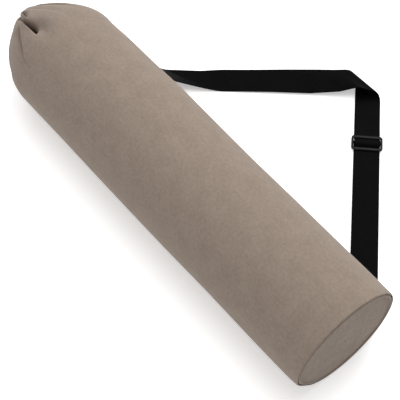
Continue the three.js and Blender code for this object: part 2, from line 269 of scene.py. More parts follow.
class Nodes:
    """A thin hand for building a node tree: adds nodes and joins them."""

    def __init__(self, tree: bpy.types.NodeTree) -> None:
        """Works on the given tree."""
        self.tree = tree

    def add(self, kind: str, **settings: object) -> bpy.types.Node:
        """A new node.

        Args:
            kind: its type.
            settings: its properties, by name.

        Returns:
            The node.
        """
        node = self.tree.nodes.new(kind)
        for key, value in settings.items():
            setattr(node, key, value)
        return node

    def join(self, output: bpy.types.NodeSocket, socket: bpy.types.NodeSocket) -> None:
        """Joins an output to an input."""
        self.tree.links.new(output, socket)

    def maths(self, kind: str, *values: object) -> bpy.types.NodeSocket:
        """A Math node of the given operation.

        Args:
            kind: the operation, such as MULTIPLY.
            values: sockets or numbers, one for each input.

        Returns:
            Its output.
        """
        node = self.add("ShaderNodeMath", operation=kind)
        for socket, value in zip(node.inputs, values):
            if isinstance(value, bpy.types.NodeSocket):
                self.join(value, socket)
            else:
                socket.default_value = value
        return node.outputs[0]


@dataclass(frozen=True)
class Grain:
    """The grain of woven cloth, as a node group that every cloth material uses.

    broad_size is measured in mottle sizes and fine_size in threads. The shares mix the three noises, and the
    mottle runs from 0 to 1 between mottle_from and mottle_to.
    """

    broad_size: float = 5.0
    fine_size: float = 1.6
    broad_detail: float = 2.0
    fine_detail: float = 1.0
    broad_share: float = 0.3
    middle_share: float = 0.4
    fine_share: float = 0.3
    mottle_from: float = 0.38
    mottle_to: float = 0.62
    weave_height: float = 0.25
    fine_height: float = 0.8

    def noise(
        self, nodes: Nodes, given: bpy.types.Node, size: bpy.types.NodeSocket, detail: float
    ) -> bpy.types.NodeSocket:
        """Noise over the group's vector.

        Args:
            nodes: the group's hand.
            given: the group's input node.
            size: the size of its grains.
            detail: how many finer layers it has.

        Returns:
            The noise's value.
        """
        texture = nodes.add("ShaderNodeTexNoise")
        nodes.join(given.outputs["Vector"], texture.inputs["Vector"])
        nodes.join(nodes.maths("DIVIDE", 1.0, size), texture.inputs["Scale"])
        texture.inputs["Detail"].default_value = detail
        return texture.outputs["Fac"]

    def group(self) -> bpy.types.NodeTree:
        """Builds the group.

        The weave's height is the product of two sines, one along each thread direction, and fine noise is
        added to it. The mottle is a weighted sum of three noises: broad, middle and fine.

        Returns:
            The group, with the inputs Vector, Mottle Size, Thread and the outputs Mottle and Height.
        """
        group = bpy.data.node_groups.new("cloth_grain", "ShaderNodeTree")
        face = group.interface
        face.new_socket("Vector", in_out="INPUT", socket_type="NodeSocketVector")
        face.new_socket("Mottle Size", in_out="INPUT", socket_type="NodeSocketFloat")
        face.new_socket("Thread", in_out="INPUT", socket_type="NodeSocketFloat")
        face.new_socket("Mottle", in_out="OUTPUT", socket_type="NodeSocketFloat")
        face.new_socket("Height", in_out="OUTPUT", socket_type="NodeSocketFloat")
        nodes = Nodes(group)
        given = nodes.add("NodeGroupInput")
        result = nodes.add("NodeGroupOutput")
        mottle_size = given.outputs["Mottle Size"]
        thread = given.outputs["Thread"]
        split = nodes.add("ShaderNodeSeparateXYZ")
        nodes.join(given.outputs["Vector"], split.inputs[0])
        turns = nodes.maths("DIVIDE", 2.0 * math.pi, thread)
        along = nodes.maths("SINE", nodes.maths("MULTIPLY", split.outputs[0], turns))
        across = nodes.maths("SINE", nodes.maths("MULTIPLY", split.outputs[1], turns))
        weave = nodes.maths("MULTIPLY", along, across)
        broad_size = nodes.maths("MULTIPLY", mottle_size, self.broad_size)
        broad = self.noise(nodes, given, broad_size, self.broad_detail)
        middle = self.noise(nodes, given, mottle_size, self.broad_detail)
        fine_size = nodes.maths("MULTIPLY", thread, self.fine_size)
        fine = self.noise(nodes, given, fine_size, self.fine_detail)
        broad_part = nodes.maths("MULTIPLY", broad, self.broad_share)
        mottle = nodes.maths("ADD", broad_part, nodes.maths("MULTIPLY", middle, self.middle_share))
        mottle = nodes.maths("ADD", mottle, nodes.maths("MULTIPLY", fine, self.fine_share))
        spread = nodes.add("ShaderNodeMapRange")
        spread.inputs["From Min"].default_value = self.mottle_from
        spread.inputs["From Max"].default_value = self.mottle_to
        nodes.join(mottle, spread.inputs["Value"])
        nodes.join(spread.outputs[0], result.inputs["Mottle"])
        weave_part = nodes.maths("MULTIPLY", weave, self.weave_height)
        height = nodes.maths("ADD", weave_part, nodes.maths("MULTIPLY", fine, self.fine_height))
        nodes.join(height, result.inputs["Height"])
        return group


def start_material(name: str) -> tuple[bpy.types.Material, Nodes, bpy.types.Node]:
    """A new material with its tree's hand and its Principled shader."""
    material = bpy.data.materials.new(name)
    material.use_nodes = True
    return material, Nodes(material.node_tree), material.node_tree.nodes["Principled BSDF"]


class FinishMaker:
    """Builds the materials, all cloths from the same grain group."""

    sheen_roughness: float = 0.6

    def __init__(self) -> None:
        """Makes the shared group once."""
        self.grain = Grain().group()

    def cloth(self, finish: ClothFinish) -> bpy.types.Material:
        """A cloth material that follows the piece's own cloth coordinates.

        Args:
            finish: the cloth.

        Returns:
            The material.
        """
        material, nodes, shader = start_material(finish.name)
        shader.inputs["Roughness"].default_value = finish.roughness
        shader.inputs["Sheen Weight"].default_value = finish.sheen
        shader.inputs["Sheen Roughness"].default_value = self.sheen_roughness
        shader.inputs["Specular IOR Level"].default_value = finish.gloss
        coordinates = nodes.add("ShaderNodeUVMap", uv_map="cloth")
        grain = nodes.add("ShaderNodeGroup", node_tree=self.grain)
        nodes.join(coordinates.outputs[0], grain.inputs["Vector"])
        grain.inputs["Mottle Size"].default_value = finish.mottle_size
        grain.inputs["Thread"].default_value = finish.thread
        mix = nodes.add("ShaderNodeMix", data_type="RGBA")
        mix.inputs["A"].default_value = (*finish.dark, 1.0)
        mix.inputs["B"].default_value = (*finish.light, 1.0)
        nodes.join(grain.outputs["Mottle"], mix.inputs["Factor"])
        nodes.join(mix.outputs["Result"], shader.inputs["Base Color"])
        bump = nodes.add("ShaderNodeBump")
        bump.inputs["Distance"].default_value = finish.relief
        bump.inputs["Strength"].default_value = 1.0
        nodes.join(grain.outputs["Height"], bump.inputs["Height"])
        nodes.join(bump.outputs[0], shader.inputs["Normal"])
        return material

    def plastic(self, finish: PlasticFinish) -> bpy.types.Material:
        """A plastic whose fine skin varies its roughness and lifts its surface.

        Args:
            finish: the plastic.

        Returns:
            The material.
        """
        material, nodes, shader = start_material(finish.name)
        shader.inputs["Base Color"].default_value = (*finish.colour, 1.0)
        shader.inputs["Specular IOR Level"].default_value = finish.gloss
        coordinates = nodes.add("ShaderNodeTexCoord")
        skin = nodes.add("ShaderNodeTexNoise")
        skin.inputs["Scale"].default_value = finish.skin_scale
        nodes.join(coordinates.outputs["Object"], skin.inputs["Vector"])
        rough = nodes.add("ShaderNodeMapRange")
        rough.inputs["To Min"].default_value = finish.smoothest
        rough.inputs["To Max"].default_value = finish.roughest
        nodes.join(skin.outputs["Fac"], rough.inputs["Value"])
        nodes.join(rough.outputs[0], shader.inputs["Roughness"])
        bump = nodes.add("ShaderNodeBump")
        bump.inputs["Distance"].default_value = finish.relief
        nodes.join(skin.outputs["Fac"], bump.inputs["Height"])
        nodes.join(bump.outputs[0], shader.inputs["Normal"])
        return material


# The bag


@dataclass(frozen=True)
class Place:
    """Where the bag lies, read from the frame, and how its cross-section changes along it.

    rest_flat is how far the cloth is pressed flat where it lies on the ground, and tip_side how far the tip
    stands to the side of the bag's middle line.
    """

    tip: float
    face: float
    axis_y: float
    radius: float
    base_radius: float
    base_side: float
    rest_flat: float = 1.5 * MM
    tip_side: float = -2.2 * MM
    taper: float = 350 * MM
    dome: float = 106 * MM
    cloth: float = 1.8 * MM
    gap: float = 0.3 * MM

    @classmethod
    def from_frame(cls) -> "Place":
        """Reads the boxes of the CAD tube and of the CAD base panel that is set into its end.

        Returns:
            The bag's place.
        """
        low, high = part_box("bag_tube")
        panel_low, panel_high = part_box("base_panel")
        radius = (high.z + cls.rest_flat) / 2
        axis_y = low.y + radius
        return cls(
            tip=low.x,
            face=panel_high.x,
            axis_y=axis_y,
            radius=radius,
            base_radius=(panel_high.y - panel_low.y) / 2 + cls.cloth + cls.gap,
            base_side=(panel_high.y + panel_low.y) / 2 - axis_y,
        )

    @property
    def length(self) -> float:
        """From the tip to the face of the base."""
        return self.face - self.tip

    def section(self, x: np.ndarray) -> tuple[np.ndarray, np.ndarray, np.ndarray]:
        """The middle and the plain radius of the bag at places along it.

        The radius falls evenly over the taper's length, and the middle moves sideways with it. At the
        gathered end the middle moves by one less the square of the share of the way from the tip.

        Args:
            x: the places.

        Returns:
            Each middle's Y and Z, and each radius.
        """
        slimmed = np.clip(1.0 + (x - self.face) / self.taper, 0.0, 1.0)
        radius = self.radius + (self.base_radius - self.radius) * slimmed
        from_tip = np.clip((x - self.tip) / self.dome, 0.0, 1.0)
        y = self.axis_y + self.base_side * slimmed + self.tip_side * (1.0 - from_tip**2)
        return y, radius - self.rest_flat, radius

    def wrap(self, x: np.ndarray, reach: np.ndarray, turn: np.ndarray, lowest: float) -> np.ndarray:
        """Points round the bag's middle, pressed flat where they would go below the lowest height.

        Args:
            x: places along the bag.
            reach: distances from the middle.
            turn: angles in degrees from +Y towards +Z.
            lowest: height of the flat.

        Returns:
            One point for each.
        """
        middle_y, middle_z, _ = self.section(x)
        y = middle_y + reach * np.cos(np.radians(turn))
        z = middle_z + reach * np.sin(np.radians(turn))
        return np.stack([np.broadcast_to(x, y.shape), y, np.maximum(z, lowest)], -1)


CREASE_TIP_WIDTH = 0.45  # share of a crease's soft width that it has at the tip
CREST_FALL = 4.0  # leans over which a crest eases off


@dataclass(frozen=True)
class Crease:
    """One crease of the gathers: a steep side against its bottom, and a side that rises softly.

    turn is its angle at the tip in degrees from +Y towards +Z, and swing how far it has turned when it
    reaches the shoulder. bend is the power with which it turns. deepest and reach are shares of the dome's
    length. start is its depth at the tip as a share of the full depth. steep and soft are the two sides'
    widths. side is +1 where the steep side lies towards higher angles. lean is how far the steep side's
    crest hangs over the bottom.
    """

    turn: float
    swing: float
    bend: float
    depth: float
    start: float
    deepest: float
    reach: float
    steep: float
    soft: float
    side: int
    lean: float

    def strength(self, from_tip: np.ndarray) -> np.ndarray:
        """Share of the full depth: it eases up to the deepest place, and down to nothing at the reach."""
        rising = self.start + (1.0 - self.start) * smooth(from_tip / self.deepest)
        return rising * smooth((self.reach - from_tip) / (self.reach - self.deepest))

    def away(self, from_tip: np.ndarray, radius: np.ndarray, turn: np.ndarray) -> np.ndarray:
        """Distance round the bag from the crease's bottom, positive on its steep side."""
        middle = self.turn + self.swing * np.maximum(from_tip, 0.0) ** self.bend
        return arc_to(turn, middle) * radius * self.side

    def cut(self, from_tip: np.ndarray, radius: np.ndarray, turn: np.ndarray) -> np.ndarray:
        """How deep the crease cuts in: eased on the steep side, and falling as a square on the soft side.

        Args:
            from_tip: shares of the dome's length.
            radius: the plain radii there.
            turn: angles in degrees.

        Returns:
            Depths in metres.
        """
        away = self.away(from_tip, radius, turn)
        growth = CREASE_TIP_WIDTH + (1.0 - CREASE_TIP_WIDTH) * smooth(from_tip / self.deepest)
        steep = smooth(1.0 - away / self.steep)
        soft = np.clip(1.0 + away / (self.soft * growth), 0.0, 1.0) ** 2
        return self.depth * self.strength(from_tip) * np.where(away > 0.0, steep, soft)

    def crest(self, from_tip: np.ndarray, radius: np.ndarray, turn: np.ndarray) -> np.ndarray:
        """Share of the crest at each point: it rises over the steep side, then eases off.

        Args:
            from_tip: shares of the dome's length.
            radius: the plain radii there.
            turn: angles in degrees.

        Returns:
            Shares from 0 to 1.
        """
        away = self.away(from_tip, radius, turn)
        rise = smooth(away / self.steep)
        fall = smooth(1.0 - (away - self.steep) / (CREST_FALL * self.lean))
        return self.strength(from_tip) * rise * fall


@dataclass(frozen=True)
class Dent:
    """A soft hollow, or a swelling where its depth is negative: a bell curve along the bag and round it.

    place is its middle's distance from the tip. along and around are the distances from its middle at
    which it has fallen to 37 percent.
    """

    place: float
    turn: float
    depth: float
    along: float
    around: float

    def cut(self, from_mouth: np.ndarray, radius: np.ndarray, turn: np.ndarray) -> np.ndarray:
        """How deep it is at distances from the tip and angles."""
        away = arc_to(turn, self.turn) * radius
        along = (from_mouth - self.place) / self.along
        return self.depth * np.exp(-(along**2) - (away / self.around) ** 2)


# Columns: turn, swing, bend, depth, start, deepest, reach, steep, soft, side, lean
CREASES = (
    Crease(22, 4, 1, 9 * MM, 0.8, 0.35, 0.95, 5 * MM, 26 * MM, 1, 2 * MM),
    Crease(58, 6, 1, 6 * MM, 0.9, 0.3, 1.0, 7 * MM, 24 * MM, -1, 2 * MM),
    Crease(94, -16, 1, 2.2 * MM, 0.9, 0.4, 1.1, 9 * MM, 12 * MM, 1, 1 * MM),
    Crease(104, 6, 1, 13 * MM, 1.0, 0.2, 0.5, 1.5 * MM, 8 * MM, 1, 2.5 * MM),
    Crease(119.2, -3, 1, 20 * MM, 0.6, 0.6, 0.94, 2.5 * MM, 18 * MM, 1, 5 * MM),
    Crease(118.8, -3, 1, 24 * MM, 0.1, 0.64, 0.86, 1.5 * MM, 12 * MM, 1, 1.5 * MM),
    Crease(120.6, 23.6, 3, 26 * MM, 0.8, 0.45, 1.12, 2 * MM, 20 * MM, -1, 6.5 * MM),
    Crease(165, 10, 1, 9 * MM, 0.9, 0.4, 1.0, 4 * MM, 26 * MM, -1, 3 * MM),
    Crease(205, -6, 1, 10 * MM, 0.9, 0.4, 0.95, 3 * MM, 26 * MM, 1, 3 * MM),
    Crease(246, 6, 1, 9 * MM, 0.9, 0.45, 1.0, 4 * MM, 28 * MM, -1, 3 * MM),
    Crease(287, -4, 1, 10 * MM, 0.9, 0.4, 0.9, 3 * MM, 26 * MM, 1, 3 * MM),
    Crease(325, 8, 1, 9 * MM, 0.9, 0.45, 1.0, 4 * MM, 26 * MM, -1, 3 * MM),
    Crease(352, 2, 1, 7 * MM, 1.0, 0.2, 0.7, 3 * MM, 14 * MM, 1, 2 * MM),
)
# Columns: place, turn, depth, along, around
DENTS = (
    Dent(86 * MM, 108.5, 9 * MM, 21 * MM, 12 * MM),
    Dent(3 * MM, 152, 4 * MM, 12 * MM, 9 * MM),
    Dent(2 * MM, 108, 4 * MM, 13 * MM, 9 * MM),
    Dent(14 * MM, 157, 3.8 * MM, 28 * MM, 17 * MM),
    Dent(80 * MM, 180, -1.8 * MM, 18 * MM, 30 * MM),
    Dent(38 * MM, 52, 1.5 * MM, 30 * MM, 22 * MM),
    Dent(122 * MM, 26, 1.5 * MM, 24 * MM, 24 * MM),
    Dent(280 * MM, 24, -1.6 * MM, 55 * MM, 38 * MM),
)
BASE_DENT = Dent(703 * MM, 216, 4.2 * MM, 11 * MM, 26 * MM)


@dataclass
class MatTube:
    """The cloth tube with its base edge and its gathered end.

    columns says between which angles how many columns of points stand: they are closest round the creases
    that face the camera. Shares of the dome's length say where the tip's pleats end, and where the waves and
    the seam's groove begin. roll_rows gives places along the rolled-in mouth in millimetres from the tip, and
    the share of the way that is left to the mouth's radius. The last stands at roll. The inner face has one
    ring for every few of the outer one's, and lies inner_inset cloths inside it.
    """

    place: Place
    tip_radius: float = 17 * MM
    mouth_radius: float = 6.5 * MM
    dome_power: float = 1.57
    dome_roundness: float = 1.15
    base_turn: float = 2 * MM
    base_bulge: float = 1.4 * MM
    columns: tuple[tuple[float, float, int], ...] = ((0.0, 84.0, 84), (84.0, 164.0, 200), (164.0, 360.0, 130))
    dome_rows: int = 120
    dome_crowding: float = 1.25
    straight_rows: int = 50
    edge_rows: int = 9
    puff: float = 0.14
    deepest_cut: float = 0.62
    pleats: float = 15.0
    pleat_depth: float = 2.2 * MM
    pleat_reach: float = 0.34
    wave_depth: float = 0.35 * MM
    wave_lengths: tuple[float, float, float] = (61 * MM, 140 * MM, 27 * MM)
    wave_from: float = 0.4
    wave_end: float = 30 * MM
    seam_groove: float = 0.7 * MM
    seam_width: float = 1.1 * MM
    seam_from: float = 0.1
    roll: float = 7 * MM
    roll_rows: tuple[tuple[float, float], ...] = (
        (-0.5, 0.88),
        (-0.4, 0.66),
        (0.2, 0.42),
        (1.2, 0.24),
        (2.6, 0.11),
        (4.6, 0.03),
        (7.0, 0.0),
    )
    roll_margin: float = 1.5 * MM
    inner_dome_step: int = 3
    inner_straight_step: int = 12
    inner_inset: float = 1.25

    def turns(self) -> np.ndarray:
        """Angles of the columns in degrees."""
        return np.concatenate([np.linspace(*part, endpoint=False) for part in self.columns])

    def dome_radius(self, from_tip: np.ndarray) -> np.ndarray:
        """The dome's plain radius at a share of its length from the tip.

        One less the share, to a power, is taken from one. That, to one over the roundness, goes from the
        tip's radius to the tube's.

        Args:
            from_tip: the shares.

        Returns:
            Radii in metres.
        """
        curve = 1.0 - np.power(1.0 - np.clip(from_tip, 0.0, 1.0), self.dome_power)
        rise = np.power(curve, 1.0 / self.dome_roundness)
        return self.tip_radius + (self.place.radius - self.tip_radius) * rise

    def radius_at(self, from_mouth: np.ndarray, turn: np.ndarray) -> np.ndarray:
        """The outer radius, with creases, dents, the small pleats of the tip and the cloth's faint waves.

        The pleats are a cosine whose spacing two sines make uneven. The waves are products and sums of sines
        along the bag and round it. The seam's groove is a bell curve round it.

        Args:
            from_mouth: distances from the tip, as a column.
            turn: angles in degrees, as a row.

        Returns:
            Radii in metres, one for each pair.
        """
        from_tip = from_mouth / self.place.dome
        angle = np.radians(turn)
        plain = self.dome_radius(from_tip) + 0.0 * angle
        cut = sum(crease.cut(from_tip, plain, turn) for crease in CREASES)
        puff = sum(self.puff * crease.depth * crease.crest(from_tip, plain, turn) for crease in CREASES)
        near_tip = smooth(1.0 - from_tip / self.pleat_reach)
        pleats = np.cos(self.pleats * angle + 1.6 * np.sin(2.0 * angle + 0.4) + 1.1 * np.sin(5.0 * angle))
        radius = plain - np.minimum(cut, self.deepest_cut * plain) + puff
        radius = radius + self.pleat_depth * near_tip * pleats
        first, second, short = (from_mouth / length for length in self.wave_lengths)
        wave = np.sin(first + 1.3 * np.sin(angle)) * np.sin(2.0 * angle + second)
        wave = wave + 0.5 * np.sin(short + 3.0 * angle)
        radius = radius + self.wave_depth * wave * smooth(from_tip - self.wave_from)
        radius = radius - sum(dent.cut(from_mouth, plain, turn) for dent in DENTS)
        seam_away = arc_to(turn, SEAM_TURN) * self.place.radius
        seam = np.exp(-((seam_away / self.seam_width) ** 2)) * smooth(from_tip - self.seam_from)
        slimmer = self.place.section(self.place.tip + from_mouth)[2] - self.place.radius
        return np.maximum(radius - self.seam_groove * seam, self.mouth_radius + self.place.cloth) + slimmer

    def leaning(self, from_mouth: np.ndarray, turn: np.ndarray) -> np.ndarray:
        """Angles of the points after the creases' crests have leant over their bottoms.

        Args:
            from_mouth: distances from the tip.
            turn: angles in degrees before that.

        Returns:
            Angles in degrees.
        """
        from_tip = from_mouth / self.place.dome
        plain = self.dome_radius(from_tip) + 0.0 * turn
        shift = sum(crease.side * crease.lean * crease.crest(from_tip, plain, turn) for crease in CREASES)
        return turn - np.degrees(shift / plain)

    def rings(self) -> tuple[np.ndarray, np.ndarray, np.ndarray, np.ndarray]:
        """All rings in order: outer face from base to tip, rolled-in mouth, inner face back to the base.

        Returns:
            Places along the bag and lowest heights, as columns, then radii and angles as grids.
        """
        cloth = self.place.cloth
        turn = self.turns()
        quarter = np.linspace(0.0, math.pi / 2, self.edge_rows)[:, None]
        wall_end = self.place.length - self.base_bulge - self.base_turn
        edge_place = wall_end + self.base_turn * np.cos(quarter)
        edge_reach = self.place.base_radius - self.base_turn * (1.0 - np.sin(quarter)) + 0.0 * turn
        straight = np.linspace(wall_end, self.place.dome, self.straight_rows)[1:-1, None]
        dome = self.place.dome * (np.linspace(1.0, 0.0, self.dome_rows) ** self.dome_crowding)[:, None]
        outer_place = np.concatenate([straight, dome])
        outer_reach = self.radius_at(outer_place, turn)
        plain = self.place.section(self.place.tip + outer_place)[2]
        fading = smooth((wall_end - outer_place) / self.wave_end)
        waving = np.where(outer_place < self.place.dome, 1.0, fading)
        outer_reach = plain + (outer_reach - plain) * waving
        rolled = np.array(self.roll_rows)
        roll_place = rolled[:, :1] * MM
        roll_reach = self.mouth_radius + (outer_reach[-1] - self.mouth_radius) * rolled[:, 1:]
        inner_place = np.concatenate([dome[:: -self.inner_dome_step], straight[:: -self.inner_straight_step]])
        inner_place = inner_place[inner_place[:, 0] > self.roll + self.roll_margin]
        inner_reach = self.radius_at(inner_place, turn) - self.inner_inset * cloth
        inner_reach = np.maximum(inner_reach, self.mouth_radius)
        hem_place = np.array([[wall_end + self.base_turn]])
        hem_reach = self.place.base_radius - cloth + 0.0 * turn[None]
        place = np.concatenate([edge_place, outer_place, roll_place, inner_place, hem_place])
        reach = np.concatenate([edge_reach, outer_reach, roll_reach, inner_reach, hem_reach])
        outside = len(edge_place) + len(outer_place) + len(roll_place)
        lowest = np.where(np.arange(len(place)) < outside, 0.0, cloth)[:, None]
        reach = reach - BASE_DENT.cut(place, self.place.base_radius, turn)
        return place, lowest, reach, self.leaning(np.maximum(place, 0.0), turn)

    def build(self, material: bpy.types.Material) -> bpy.types.Object:
        """Makes the tube. Its cloth coordinates are metres along the bag and round it.

        Args:
            material: the canvas.

        Returns:
            The new object.
        """
        place, lowest, reach, turn = self.rings()
        points = self.place.wrap(self.place.tip + place, reach, turn, lowest)
        uv = np.stack([np.broadcast_to(place, turn.shape), np.radians(turn) * self.place.radius], -1)
        rows, columns = turn.shape
        faces = [grid_faces(rows, columns, close_rows=True, close_columns=True)[:, ::-1]]
        points, uv = points.reshape(-1, 3), uv.reshape(-1, 2)
        return make_piece("tube_cloth", points, faces, material, ("bag_tube",), uv)


@dataclass
class BasePanel:
    """The round base: a panel with a rolled edge, set into the tube's end.

    pucker_from and pucker_over say where the puckers begin and over what length they grow, from the middle
    outwards, and sag_over is the same length for the sag. sag_turn is in radians. The free face fades out
    over free_blend before the rolled edge.
    """

    place: Place
    seam_width: float = 0.7 * MM
    back: float = 4.2 * MM
    roll_radius: float = 3.2 * MM
    roll_rise: float = 1.6 * MM
    stitch_inset: float = 6 * MM
    stitch_depth: float = 0.5 * MM
    stitch_width: float = 1.3 * MM
    middle_ring: float = 1 * MM
    rim: float = 11 * MM
    rim_step: float = 1 * MM
    roll_margin: float = 0.1 * MM
    roll_blend: float = 2 * MM
    free_blend: float = 4 * MM
    back_step: float = 2 * MM
    rim_rows: int = 24
    inner_rows: int = 14
    roll_rows: int = 8
    puckers: int = 34
    pucker_depth: float = 0.16 * MM
    pucker_from: float = 58 * MM
    pucker_over: float = 14 * MM
    sag: float = 0.5 * MM
    sag_turn: float = 0.6
    sag_over: float = 60 * MM
    round_steps: int = 288

    def profile(self, edge: float) -> np.ndarray:
        """Distance from the middle and height over the face's plane, from the outer middle to the back's.

        The face is level. It dips to the stitch line as a bell curve, rises to the rolled edge, goes over
        it as a quarter round and down to the back.

        Args:
            edge: the panel's radius.

        Returns:
            Pairs of distance and height.
        """
        roll_start = edge - self.roll_radius
        inner = np.linspace(self.middle_ring, edge - self.rim - self.rim_step, self.inner_rows)
        outer = np.linspace(edge - self.rim, roll_start - self.roll_margin, self.rim_rows)
        reach = np.concatenate([inner, outer])
        dip = self.stitch_depth * np.exp(-(((reach - edge + self.stitch_inset) / self.stitch_width) ** 2))
        level = -self.roll_rise * smooth((roll_start - reach) / self.roll_blend) - dip
        angle = np.linspace(math.pi / 2, 0.0, self.roll_rows)
        roll_reach = edge - self.roll_radius * (1.0 - np.cos(angle))
        roll = np.stack([roll_reach, self.roll_radius * (np.sin(angle) - 1.0)], -1)
        back = [(place, -self.back) for place in (edge, edge - self.back_step, self.middle_ring)]
        return np.concatenate([np.stack([reach, level], -1), roll, back])

    def build(self, material: bpy.types.Material) -> bpy.types.Object:
        """Makes the panel. Its cloth coordinates are its own plane.

        The puckers are a sine round the edge, made uneven by another. The sag is deepest at one side of the
        middle. Both act on the free face and not on the rolled edge.

        Args:
            material: the base's canvas.

        Returns:
            The new object.
        """
        edge = self.place.base_radius - self.place.cloth - self.place.gap - self.seam_width
        lowest = self.place.cloth + self.place.gap
        profile = self.profile(edge)
        turn = np.arange(self.round_steps) * 360.0 / self.round_steps
        angle = np.radians(turn)
        pressed = BASE_DENT.cut(self.place.length, self.place.base_radius, turn)
        reach = profile[:, :1] - pressed * (profile[:, :1] / edge) ** 2
        free = smooth((edge - self.roll_radius - profile[:, :1]) / self.free_blend)
        free = free * (profile[:, 1:] > -self.back)
        pucker = self.pucker_depth * np.sin(self.puckers * angle + 2.0 * np.sin(3 * angle))
        pucker = pucker * smooth((reach - self.pucker_from) / self.pucker_over)
        sag = -self.sag * (1.0 + np.sin(angle + self.sag_turn)) * smooth(reach / self.sag_over)
        out = profile[:, 1:] + (pucker + sag) * free
        points = self.place.wrap(self.place.face + out, reach, turn, lowest)
        middle_x = self.place.face + np.array([profile[0, 1], -self.back])
        middles = self.place.wrap(middle_x, np.zeros(2), np.zeros(2), lowest)
        rows, columns = reach.shape
        faces = grid_faces(rows, columns, close_rows=False, close_columns=True)
        first = np.arange(columns)
        ahead = (first + 1) % columns
        last = (rows - 1) * columns
        front = np.stack([np.full(columns, rows * columns), ahead, first], -1)
        rear = np.stack([np.full(columns, rows * columns + 1), last + first, last + ahead], -1)
        points = np.concatenate([points.reshape(-1, 3), middles])
        faces = [faces, front[:, ::-1], rear[:, ::-1]]
        return make_piece("base_cloth", points, faces, material, ("base_panel",), points[:, 1:])


# The strap


